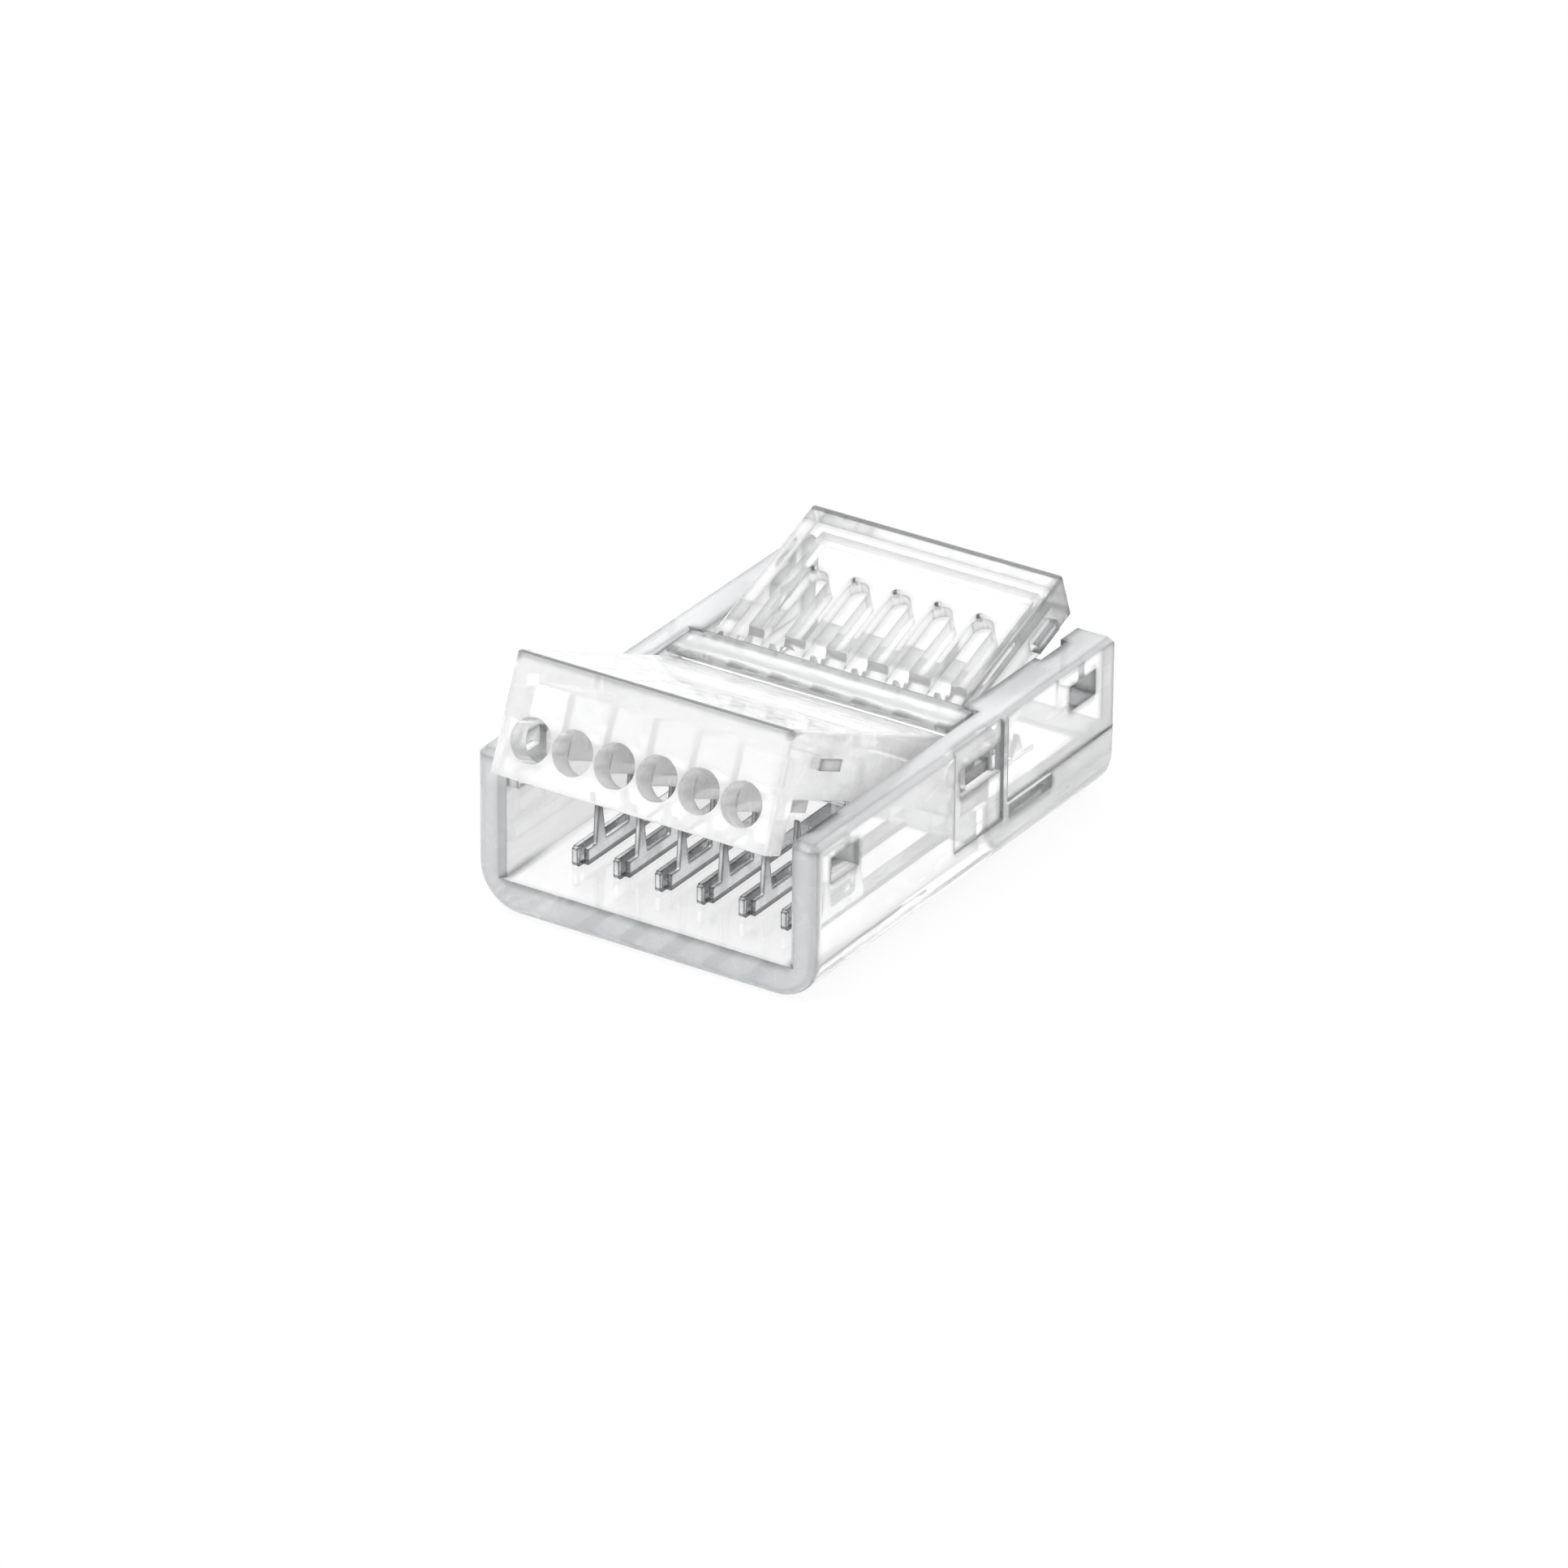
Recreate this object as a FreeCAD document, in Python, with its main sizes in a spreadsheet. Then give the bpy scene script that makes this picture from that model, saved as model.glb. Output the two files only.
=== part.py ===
import FreeCAD, Part
import os
from types import SimpleNamespace

import Sketcher
from FreeCAD import Placement, Rotation, Vector

# Six-way connector between loose wires and a flexible light strip, in millimetres.
# X is the width, +Y points to the strip side and +Z up.
# The origin is the centre of the tray's underside.

# Driving dimensions: name, value and meaning.
# Places along the tray are measured from its front face, which is the wire side.
SIZES = [
    ("channel_count", 6, "wires and contacts side by side"),
    ("contact_pitch", 2.0, "distance between neighbouring contacts"),
    ("side_margin", 0.8, "from the outer channel to the inner wall face"),
    ("tray_length", 22.7, "tray from front face to rear face"),
    ("tray_height", 7.1, "underside to wall tops"),
    ("floor_thickness", 1.5, "tray floor on the wire side"),
    ("deck_height", 3.1, "raised floor on the strip side"),
    ("deck_start", 12.9, "front face to the raised floor"),
    ("wire_wall", 1.3, "side wall on the wire side"),
    ("strip_wall", 1.8, "side wall on the strip side"),
    ("strip_wall_start", 13.8, "front face to the thicker side wall"),
    ("underside_radius", 2.0, "rounded long edges of the underside"),
    ("rim_radius", 0.3, "rounded top edges of the wire side walls"),
    ("rim_chamfer", 0.25, "chamfered top edges of the strip side walls"),
    ("corner_radius", 0.4, "rounded upright edges at both ends"),
    ("pivot_drop", 1.3, "wall tops to both hinge axes"),
    ("wire_pivot", 10.7, "front face to the wire cover's hinge axis"),
    ("strip_pivot", 14.6, "front face to the strip cover's hinge axis"),
    ("pin_radius", 0.6, "hinge pins of both covers"),
    ("pin_gap", 0.05, "radial clearance of a pin in its socket"),
    ("pin_end_gap", 0.05, "clearance at the end of a pin"),
    ("pin_depth", 0.45, "how far a pin reaches into the wall"),
    ("cover_gap", 0.25, "between a cover's side and the wall"),
    ("cover_plate", 1.2, "top plate of both covers"),
    ("cover_edge_radius", 0.15, "rounded outer edges of both covers"),
    ("hinge_gap", 0.1, "clearance between a cover's hinge end and the bridge"),
    ("wire_open_angle", 23.8, "degrees that the wire cover stands open"),
    ("wire_overhang", 0.8, "closed wire cover past the front face"),
    ("wire_lip", 0.13, "wire cover's rounded hinge end beyond its top face"),
    ("wire_skirt_depth", 2.8, "wire cover's sides below its top"),
    ("wire_skirt", 0.8, "side thickness of the wire cover"),
    ("end_wall_depth", 5.1, "wire cover's end wall below its top"),
    ("end_wall", 1.2, "thickness of the wire cover's end wall"),
    ("wire_hole_radius", 0.95, "wire hole in the end wall"),
    ("wire_hole_drop", 3.4, "wire hole's axis below the cover's top"),
    ("divider_depth", 3.9, "ribs between the wires below the cover's top"),
    ("divider_width", 0.3, "thickness of a rib between the wires"),
    ("divider_length", 5.6, "length of a rib between the wires"),
    ("presser_depth", 2.4, "pressing bars below the cover's top"),
    ("presser_width", 0.7, "pressing bar along the wires"),
    ("front_presser", 3.9, "cover's free end to the front pressing bar"),
    ("rear_presser", 6.3, "cover's free end to the rear pressing bar"),
    ("saddle_radius", 0.75, "hollow of a pressing bar over each wire"),
    ("saddle_rise", 0.5, "depth of that hollow"),
    ("strip_open_angle", 20.0, "degrees that the strip cover stands open"),
    ("strip_inset", 0.1, "rear face to the closed strip cover's free end"),
    ("strip_lip", 0.01, "strip cover's rounded hinge end beyond its top face"),
    ("strip_skirt_depth", 2.1, "strip cover's sides below its top"),
    ("strip_skirt", 0.8, "side thickness of the strip cover"),
    ("strip_end", 0.8, "thickness of the strip cover's end wall"),
    ("strip_rib_width", 1.0, "round-ended rib under the strip cover"),
    ("strip_rib_reach", 5.15, "hinge axis to the round end of a rib"),
    ("strip_rib_depth", 2.3, "rib's lower face below the cover's top"),
    ("dimple_radius", 0.15, "small blind hole in the strip cover's top"),
    ("dimple_depth", 0.4, "depth of that hole"),
    ("dimple_reach", 4.65, "hinge axis to the row of small holes"),
    ("nub_setback", 2.0, "wire cover's free end to its latch nub"),
    ("strip_nub_setback", 1.55, "strip cover's free end to its latch nub"),
    ("nub_length", 1.6, "latch nub along the wall"),
    ("nub_height", 0.5, "latch nub's height"),
    ("nub_drop", 1.0, "cover's top to the top of the nub"),
    ("nub_proud", 0.45, "latch nub past the cover's side"),
    ("groove_gap", 0.1, "clearance round a nub in its groove"),
    ("groove_run", 0.3, "that clearance on the hinge side, where the nub's arc takes it"),
    ("window_below", 0.5, "latch window below a nub"),
    ("window_above", 0.15, "latch window above a nub"),
    ("bridge_start", 11.4, "front face to the bridge before its reliefs"),
    ("bridge_end", 14.1, "front face to the bridge's rear before its reliefs"),
    ("bridge_drop", 0.05, "wall tops to the bridge's top"),
    ("bridge_side_gap", 0.05, "clearance between the bridge and the walls"),
    ("tab_start", 11.75, "front face to the bridge's side tab"),
    ("tab_end", 13.65, "front face to the tab's rear end"),
    ("tab_bottom", 4.7, "underside to the tab's lower face"),
    ("tab_top", 5.85, "underside to the tab's upper face"),
    ("tab_reach", 0.75, "tab's end past the inner wall face"),
    ("tab_gap", 0.05, "clearance round a tab in its window"),
    ("tab_step", 0.25, "each step in a tab's end"),
    ("tab_step_drop", 0.3, "height of each step"),
    ("recess_start", 10.9, "front face to the recess round a tab window"),
    ("recess_depth", 0.4, "depth of that recess"),
    ("panel_start", 10.3, "front face to the shallow outer panel"),
    ("panel_end", 13.95, "front face to the panel's rear edge"),
    ("panel_bottom", 2.45, "underside to the panel's lower edge"),
    ("panel_depth", 0.15, "depth of the panel"),
    ("band_depth", 0.1, "outer wall set back above the lower band"),
    ("band_start", 14.3, "front face to the lower band"),
    ("slot_start", 14.4, "front face to the slot in the outer wall"),
    ("slot_end", 17.7, "front face to the slot's rear end"),
    ("slot_bottom", 2.35, "underside to the slot"),
    ("slot_height", 0.6, "height of the slot"),
    ("slot_depth", 0.5, "depth of the slot"),
    ("sheet_thickness", 0.2, "contact metal"),
    ("bend_radius", 0.18, "outside of the bends in a contact"),
    ("contact_width", 0.73, "contact over both flanges"),
    ("contact_start", 2.9, "front face to the contact's channel"),
    ("rail_height", 0.7, "both flanges above the floor"),
    ("tooth_height", 2.9, "piercing tooth above the floor"),
    ("tooth_fore", 0.25, "tooth's tip to its foot towards the front"),
    ("tooth_aft", 0.42, "tooth's tip to its foot towards the rear"),
    ("tooth_tip", 0.05, "half length of a tooth at its tip"),
    ("front_tooth", 3.77, "front face to the front tooth's tip"),
    ("rear_tooth", 6.1, "front face to the rear tooth's tip"),
    ("rail_end", 6.6, "front face to the rear end of both flanges"),
    ("lip_start", 2.45, "front face to the contact's front lip"),
    ("lip_width", 0.26, "width of the front lip"),
    ("lip_height", 0.85, "front lip above the floor"),
    ("contact_end", 19.0, "front face to the contact's end on the deck"),
    ("prong_place", 17.8, "front face to the points on the strip side"),
    ("prong_height", 1.1, "those points above the deck"),
    ("prong_base", 0.55, "half length of a point at its foot"),
]

OVERCUT = 1.0


class Size:
    """A length that knows its number and its formula in the sheet."""

    def __init__(self, value, formula):
        self.value = value
        self.formula = formula

    @staticmethod
    def of(other):
        if isinstance(other, Size):
            return other
        return Size(float(other), repr(float(other)))

    def join(self, other, sign, value):
        return Size(value, "(" + self.formula + " " + sign + " " + other.formula + ")")

    def __add__(self, other):
        other = Size.of(other)
        return self.join(other, "+", self.value + other.value)

    def __sub__(self, other):
        other = Size.of(other)
        return self.join(other, "-", self.value - other.value)

    def __mul__(self, other):
        other = Size.of(other)
        return self.join(other, "*", self.value * other.value)

    def __truediv__(self, other):
        other = Size.of(other)
        return self.join(other, "/", self.value / other.value)

    def __neg__(self):
        return self * -1

    __radd__ = __add__
    __rmul__ = __mul__


def make_sheet(doc):
    """Write the driving dimensions into a spreadsheet and return them by name."""
    sheet = doc.addObject("Spreadsheet::Sheet", "Sizes")
    named = {}
    for row, (name, value, meaning) in enumerate(SIZES, start=1):
        sheet.set("A" + str(row), meaning)
        sheet.set("B" + str(row), str(value))
        sheet.setAlias("B" + str(row), name)
        named[name] = Size(value, "Sizes." + name)
    doc.recompute()
    return SimpleNamespace(**named)


doc = FreeCAD.newDocument("led_strip_connector")
size = make_sheet(doc)

# Shared places, worked out once from the driving dimensions.
inner_half = size.channel_count * size.contact_pitch / 2 + size.side_margin
tray_half = inner_half + size.wire_wall
strip_half = tray_half - size.strip_wall
front_y = -size.tray_length / 2
rear_y = size.tray_length / 2
pivot_z = size.tray_height - size.pivot_drop
cover_top = size.pivot_drop
wire_half = inner_half - size.cover_gap
wire_reach = size.wire_pivot + size.wire_overhang
wire_barrel = size.pivot_drop + size.wire_lip
strip_reach = size.tray_length - size.strip_pivot - size.strip_inset
strip_barrel = size.pivot_drop + size.strip_lip
strip_cover_half = strip_half - size.cover_gap
first_channel = -size.contact_pitch * (size.channel_count - 1) / 2
first_between = -size.contact_pitch * (size.channel_count - 2) / 2
channel_span = size.contact_pitch * (size.channel_count - 1)
between_span = size.contact_pitch * (size.channel_count - 2)
nub_top = cover_top - size.nub_drop
nub_bottom = nub_top - size.nub_height


def plane(body, role):
    """The body's own origin plane or axis with this role."""
    return [item for item in body.Origin.OriginFeatures if item.Role == role][0]


def new_sketch(body, name, role, offset=None):
    """A sketch on one of the body's own planes, moved along the plane's normal by offset."""
    sketch = body.newObject("Sketcher::SketchObject", name)
    sketch.AttachmentSupport = [(plane(body, role), "")]
    sketch.MapMode = "FlatFace"
    if offset is not None:
        sketch.setExpression("AttachmentOffset.Base.z", offset.formula)
    return sketch


def pin_point(sketch, geometry, position, place):
    """Hold one point of the sketch at a place bound to the sheet."""
    for kind, coordinate in zip(("DistanceX", "DistanceY"), place):
        constraint = Sketcher.Constraint(kind, -1, 1, geometry, position, coordinate.value)
        index = sketch.addConstraint(constraint)
        sketch.setExpression("Constraints[" + str(index) + "]", coordinate.formula)


def add_outline(sketch, places):
    """Add a closed outline of straight lines through the places."""
    places = [tuple(Size.of(coordinate) for coordinate in place) for place in places]
    points = [Vector(place[0].value, place[1].value, 0) for place in places]
    start = sketch.GeometryCount
    count = len(points)
    for index in range(count):
        sketch.addGeometry(Part.LineSegment(points[index], points[(index + 1) % count]), False)
    for index in range(count):
        following = start + (index + 1) % count
        sketch.addConstraint(Sketcher.Constraint("Coincident", start + index, 2, following, 1))
        pin_point(sketch, start + index, 1, places[index])


def add_rectangle(sketch, left, bottom, right, top):
    """Add a closed rectangle between two corners."""
    add_outline(sketch, [(left, bottom), (right, bottom), (right, top), (left, top)])


def add_circle(sketch, across, up, radius):
    """Add a circle about one point."""
    across = Size.of(across)
    up = Size.of(up)
    circle = Part.Circle(Vector(across.value, up.value, 0), Vector(0, 0, 1), radius.value)
    geometry = sketch.addGeometry(circle, False)
    pin_point(sketch, geometry, 3, (across, up))
    index = sketch.addConstraint(Sketcher.Constraint("Radius", geometry, radius.value))
    sketch.setExpression("Constraints[" + str(index) + "]", radius.formula)


def extrude(body, kind, sketch, length, both_sides=True):
    """Pad or pocket a sketch by a length bound to the sheet."""
    feature = body.newObject("PartDesign::" + kind, sketch.Name + "_" + kind.lower())
    feature.Profile = sketch
    feature.SideType = "Symmetric" if both_sides else "One side"
    feature.setExpression("Length", length.formula)
    body.Tip = feature
    return feature


def section_feature(body, kind, name, outlines, half_width):
    """Pad or pocket side-view outlines over a width centred on the body's middle plane."""
    sketch = new_sketch(body, name, "YZ_Plane")
    for outline in outlines:
        add_outline(sketch, outline)
    return extrude(body, kind, sketch, half_width * 2)


def round_feature(body, kind, name, place, radius, half_width):
    """Pad or pocket a side-view circle over a width centred on the body's middle plane."""
    sketch = new_sketch(body, name, "YZ_Plane")
    add_circle(sketch, place[0], place[1], radius)
    return extrude(body, kind, sketch, half_width * 2)


def box_outline(left, bottom, right, top):
    """Corners of a rectangle in order."""
    return [(left, bottom), (right, bottom), (right, top), (left, top)]


def mirror(body, name, features):
    """Repeat features on the other side of the middle plane."""
    mirrored = body.newObject("PartDesign::Mirrored", name)
    mirrored.Originals = features
    mirrored.MirrorPlane = (plane(body, "YZ_Plane"), [""])
    body.Tip = mirrored
    return mirrored


def repeat_across(body, name, features, span, count):
    """Repeat features along the width."""
    pattern = body.newObject("PartDesign::LinearPattern", name)
    pattern.Originals = features
    pattern.Direction = (plane(body, "X_Axis"), [""])
    pattern.setExpression("Length", span.formula)
    pattern.setExpression("Occurrences", count.formula)
    body.Tip = pattern
    return pattern


def edges_where(feature, wanted):
    """Names of the edges whose middle point and direction pass the test."""
    doc.recompute()
    names = []
    for index, edge in enumerate(feature.Shape.Edges, start=1):
        if edge.Curve.TypeId != "Part::GeomLine":
            continue
        if wanted(edge.CenterOfMass, edge.Curve.Direction):
            names.append("Edge" + str(index))
    return names


def soften(body, kind, name, base, wanted, amount):
    """Fillet or chamfer the edges of the base feature that pass the test."""
    feature = body.newObject("PartDesign::" + kind, name)
    feature.Base = (base, edges_where(base, wanted))
    feature.setExpression("Radius" if kind == "Fillet" else "Size", amount.formula)
    body.Tip = feature
    return feature


def near(first, second):
    """Whether two numbers agree within the modelling tolerance."""
    return abs(first - second) < 0.001


def make_tray():
    """Base housing: a U-section open at both ends, with windows, grooves and pin sockets."""
    body = doc.addObject("PartDesign::Body", "tray")
    block = section_feature(body, "Pad", "tray_block", [box_outline(front_y, 0, rear_y, size.tray_height)], tray_half)
    rounded = soften(
        body, "Fillet", "underside_rounding", block,
        lambda middle, way: near(middle.z, 0) and near(abs(way.y), 1), size.underside_radius)
    corners = soften(
        body, "Fillet", "corner_rounding", rounded,
        lambda middle, way: near(abs(middle.y), rear_y.value) and near(abs(way.z), 1), size.corner_radius)

    deck_y = front_y + size.deck_start
    wall_y = front_y + size.strip_wall_start
    past_front = front_y - OVERCUT
    past_rear = rear_y + OVERCUT
    past_top = size.tray_height + OVERCUT
    wire_channel = [
        (past_front, size.floor_thickness), (deck_y, size.floor_thickness),
        (deck_y, size.deck_height), (wall_y, size.deck_height),
        (wall_y, past_top), (past_front, past_top)]
    section_feature(body, "Pocket", "wire_channel", [wire_channel], inner_half)
    strip_channel = box_outline(wall_y - OVERCUT, size.deck_height, past_rear, past_top)
    channel = section_feature(body, "Pocket", "strip_channel", [strip_channel], strip_half)

    rims = soften(
        body, "Fillet", "wire_rims", channel,
        lambda middle, way: near(middle.z, size.tray_height.value) and near(abs(way.y), 1)
        and near(abs(middle.x), inner_half.value), size.rim_radius)
    soften(
        body, "Chamfer", "outer_rims", rims,
        lambda middle, way: near(middle.z, size.tray_height.value) and near(abs(way.y), 1)
        and near(abs(middle.x), tray_half.value), size.rim_chamfer)

    wire_free = front_y - size.wire_overhang
    wire_nub = (wire_free + size.nub_setback, wire_free + size.nub_setback + size.nub_length)
    strip_free = front_y + size.strip_pivot + strip_reach
    strip_nub = (strip_free - size.strip_nub_setback - size.nub_length, strip_free - size.strip_nub_setback)
    window_low = pivot_z + nub_bottom - size.window_below
    window_high = pivot_z + nub_top + size.window_above
    wire_span = (wire_nub[0] - size.groove_gap, wire_nub[1] + size.groove_run)
    strip_span = (strip_nub[0] - size.groove_run, strip_nub[1] + size.groove_gap)
    windows = [box_outline(start, window_low, end, window_high) for start, end in (wire_span, strip_span)]
    section_feature(body, "Pocket", "latch_windows", windows, tray_half + OVERCUT)
    for name, span, half in (("wire", wire_span, wire_half), ("strip", strip_span, strip_cover_half)):
        groove = box_outline(span[0], window_low, span[1], past_top)
        depth = half + size.nub_proud + size.groove_gap
        section_feature(body, "Pocket", name + "_lead_in", [groove], depth)

    for name, place, half in (("wire", size.wire_pivot, inner_half), ("strip", size.strip_pivot, strip_half)):
        socket_place = (front_y + place, pivot_z)
        depth = half + size.pin_depth + size.pin_end_gap
        round_feature(body, "Pocket", name + "_sockets", socket_place, size.pin_radius + size.pin_gap, depth)

    tab_window = box_outline(
        front_y + size.tab_start - size.tab_gap, size.tab_bottom - size.tab_gap,
        front_y + size.tab_end + size.tab_gap, size.tab_top + size.tab_gap)
    section_feature(body, "Pocket", "tab_windows", [tab_window], tray_half + OVERCUT)

    outside = []
    outer_cuts = (
        ("tab_recess", size.recess_start, size.tab_bottom - size.tab_gap, size.panel_end,
         size.tab_top + size.tab_gap, size.recess_depth),
        ("outer_panel", size.panel_start, size.panel_bottom, size.panel_end, past_top, size.panel_depth),
        ("outer_band", size.band_start, size.deck_height, size.tray_length + OVERCUT, past_top, size.band_depth),
        ("outer_slot", size.slot_start, size.slot_bottom, size.slot_end,
         size.slot_bottom + size.slot_height, size.slot_depth))
    for name, start, bottom, end, top, depth in outer_cuts:
        sketch = new_sketch(body, name, "YZ_Plane", tray_half)
        add_rectangle(sketch, front_y + start, bottom, front_y + end, top)
        outside.append(extrude(body, "Pocket", sketch, depth, both_sides=False))
    mirror(body, "outside_left", outside)
    return body


def make_cover_shell(body, side, cover):
    """Plate, skirts, end wall, hinge barrel, pins and latch nubs about the hinge axis.

    The axis is the body's X axis, and side is -1 for a cover that points to the front.
    """
    free = cover.reach * side
    skirt_low = cover_top - cover.skirt_depth
    section_feature(body, "Pad", "block", [box_outline(0, skirt_low, free, cover_top)], cover.half)
    nub = box_outline(
        (cover.reach - cover.nub_setback - size.nub_length) * side, nub_bottom,
        (cover.reach - cover.nub_setback) * side, nub_top)
    section_feature(body, "Pad", "nubs", [nub], cover.half + size.nub_proud)
    hollow = box_outline(
        cover.barrel / 2 * side, skirt_low - OVERCUT, (cover.reach - cover.end) * side, cover_top - size.cover_plate)
    section_feature(body, "Pocket", "hollow", [hollow], cover.half - cover.skirt)
    round_feature(body, "Pad", "barrel", (0, 0), cover.barrel, cover.half)
    above = box_outline(-cover.barrel - OVERCUT, cover_top, cover.barrel + OVERCUT, cover_top + OVERCUT)
    section_feature(body, "Pocket", "barrel_flat", [above], cover.half + OVERCUT)
    wall = box_outline(
        (cover.reach - cover.end) * side, cover_top - cover.end_depth, free, cover_top)
    section_feature(body, "Pad", "end", [wall], cover.half)
    pins = round_feature(body, "Pad", "pins", (0, 0), size.pin_radius, cover.wall_half + size.pin_depth)

    def outer_edge(middle, way):
        """Upright corners of the free end, its top edge and the long top edges."""
        at_end = near(middle.y, free.value)
        at_top = near(middle.z, cover_top.value)
        at_side = near(abs(middle.x), cover.half.value)
        return (at_end and at_top) or (at_end and at_side) or (at_top and at_side)

    soften(body, "Fillet", "outer_edges", pins, outer_edge, size.cover_edge_radius)


def place_on_hinge(body, axis, place, angle):
    """Seat a cover on its hinge axis, standing open by its angle."""
    body.Placement = Placement(Vector(), Rotation(axis, angle.value))
    body.setExpression(".Placement.Base.y", (front_y + place).formula)
    body.setExpression(".Placement.Base.z", pivot_z.formula)
    body.setExpression(".Placement.Rotation.Angle", angle.formula)


def make_wire_cover():
    """Cover with a round hole for each wire, ribs between them and bars that press them down."""
    body = doc.addObject("PartDesign::Body", "wire_cover")
    cover = SimpleNamespace(
        half=wire_half, wall_half=inner_half, reach=wire_reach, barrel=wire_barrel,
        skirt=size.wire_skirt, skirt_depth=size.wire_skirt_depth, end=size.end_wall,
        end_depth=size.end_wall_depth, nub_setback=size.nub_setback)
    make_cover_shell(body, -1, cover)

    bars = []
    for place in (size.front_presser, size.rear_presser):
        start = place - wire_reach
        bars.append(box_outline(start, cover_top - size.presser_depth, start + size.presser_width, cover_top))
    section_feature(body, "Pad", "pressers", bars, wire_half - size.wire_skirt)

    saddle = new_sketch(body, "saddle", "XZ_Plane", wire_reach - size.front_presser + OVERCUT / 2)
    saddle_middle = cover_top - size.presser_depth + size.saddle_rise - size.saddle_radius
    add_circle(saddle, first_channel, saddle_middle, size.saddle_radius)
    saddle_length = size.rear_presser - size.front_presser + size.presser_width + OVERCUT
    saddle_cut = extrude(body, "Pocket", saddle, saddle_length, both_sides=False)
    repeat_across(body, "saddles", [saddle_cut], channel_span, size.channel_count)

    divider = new_sketch(body, "divider", "YZ_Plane", first_between)
    rib_start = size.end_wall - wire_reach
    add_rectangle(
        divider, rib_start, cover_top - size.divider_depth, rib_start + size.divider_length, cover_top)
    divider_pad = extrude(body, "Pad", divider, size.divider_width)
    repeat_across(body, "dividers", [divider_pad], between_span, size.channel_count - 1)

    hole = new_sketch(body, "wire_hole", "XZ_Plane", wire_reach)
    add_circle(hole, first_channel, cover_top - size.wire_hole_drop, size.wire_hole_radius)
    hole_cut = extrude(body, "Pocket", hole, size.end_wall, both_sides=False)
    repeat_across(body, "wire_holes", [hole_cut], channel_span, size.channel_count)
    place_on_hinge(body, Vector(-1, 0, 0), size.wire_pivot, size.wire_open_angle)
    return body


def make_strip_cover():
    """Cover with round-ended ribs that press the light strip on the contacts' points."""
    body = doc.addObject("PartDesign::Body", "strip_cover")
    cover = SimpleNamespace(
        half=strip_cover_half, wall_half=strip_half, reach=strip_reach, barrel=strip_barrel,
        skirt=size.strip_skirt, skirt_depth=size.strip_skirt_depth, end=size.strip_end,
        end_depth=size.strip_skirt_depth, nub_setback=size.strip_nub_setback)
    make_cover_shell(body, 1, cover)

    half_rib = size.strip_rib_width / 2
    round_middle = size.strip_rib_reach - half_rib
    rib = new_sketch(body, "rib", "XY_Plane", cover_top - size.strip_rib_depth)
    add_rectangle(rib, first_between - half_rib, strip_barrel / 2, first_between + half_rib, round_middle)
    rib_height = size.strip_rib_depth - size.cover_plate / 2
    rib_pad = extrude(body, "Pad", rib, rib_height, both_sides=False)
    rib_end = new_sketch(body, "rib_end", "XY_Plane", cover_top - size.strip_rib_depth)
    add_circle(rib_end, first_between, round_middle, half_rib)
    end_pad = extrude(body, "Pad", rib_end, rib_height, both_sides=False)
    repeat_across(body, "ribs", [rib_pad, end_pad], between_span, size.channel_count - 1)

    dimple = new_sketch(body, "dimple", "XY_Plane", cover_top)
    add_circle(dimple, first_between, size.dimple_reach, size.dimple_radius)
    dimple_cut = extrude(body, "Pocket", dimple, size.dimple_depth, both_sides=False)
    repeat_across(body, "dimples", [dimple_cut], between_span, size.channel_count - 1)
    place_on_hinge(body, Vector(1, 0, 0), size.strip_pivot, size.strip_open_angle)
    return body


def make_bridge():
    """Cross piece between the covers: it holds the contacts down and clicks into the walls."""
    body = doc.addObject("PartDesign::Body", "contact_bridge")
    bottom = size.deck_height + size.sheet_thickness
    top = size.tray_height - size.bridge_drop
    middle_half = strip_half - size.bridge_side_gap
    wide_half = inner_half - size.bridge_side_gap
    core = box_outline(front_y + size.bridge_start, bottom, front_y + size.bridge_end, top)
    section_feature(body, "Pad", "core", [core], middle_half)
    ears = box_outline(
        front_y + size.tab_start, bottom,
        front_y + size.strip_wall_start - size.bridge_side_gap, top)
    section_feature(body, "Pad", "ears", [ears], wide_half)
    tabs = box_outline(front_y + size.tab_start, size.tab_bottom, front_y + size.tab_end, size.tab_top)
    section_feature(body, "Pad", "tabs", [tabs], inner_half + size.tab_reach)
    reliefs = (
        ("wire_relief", size.wire_pivot, wire_barrel),
        ("strip_relief", size.strip_pivot, strip_barrel))
    for name, place, barrel in reliefs:
        relief_place = (front_y + place, pivot_z)
        round_feature(body, "Pocket", name, relief_place, barrel + size.hinge_gap, wide_half)

    steps = []
    step_sizes = (
        ("upper_step", size.tab_step_drop, size.tab_step * 2),
        ("lower_step", size.tab_step_drop * 2, size.tab_step))
    for name, drop, depth in step_sizes:
        sketch = new_sketch(body, name, "YZ_Plane", inner_half + size.tab_reach)
        add_rectangle(
            sketch, front_y + size.tab_start, size.tab_top - drop,
            front_y + size.tab_end, size.tab_top + OVERCUT)
        steps.append(extrude(body, "Pocket", sketch, depth, both_sides=False))
    mirror(body, "steps_left", steps)
    return body


def tooth(place, foot, tip, fore, aft):
    """Outline points of one piercing tooth, from front to rear."""
    return [
        (place - fore, foot), (place - size.tooth_tip, tip), (place + size.tooth_tip, tip), (place + aft, foot)]


def flange(body, name, outline, across):
    """One upright flange of sheet metal whose middle stands at a place across the contact."""
    sketch = new_sketch(body, name, "YZ_Plane", across)
    add_outline(sketch, outline)
    return extrude(body, "Pad", sketch, size.sheet_thickness)


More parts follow.
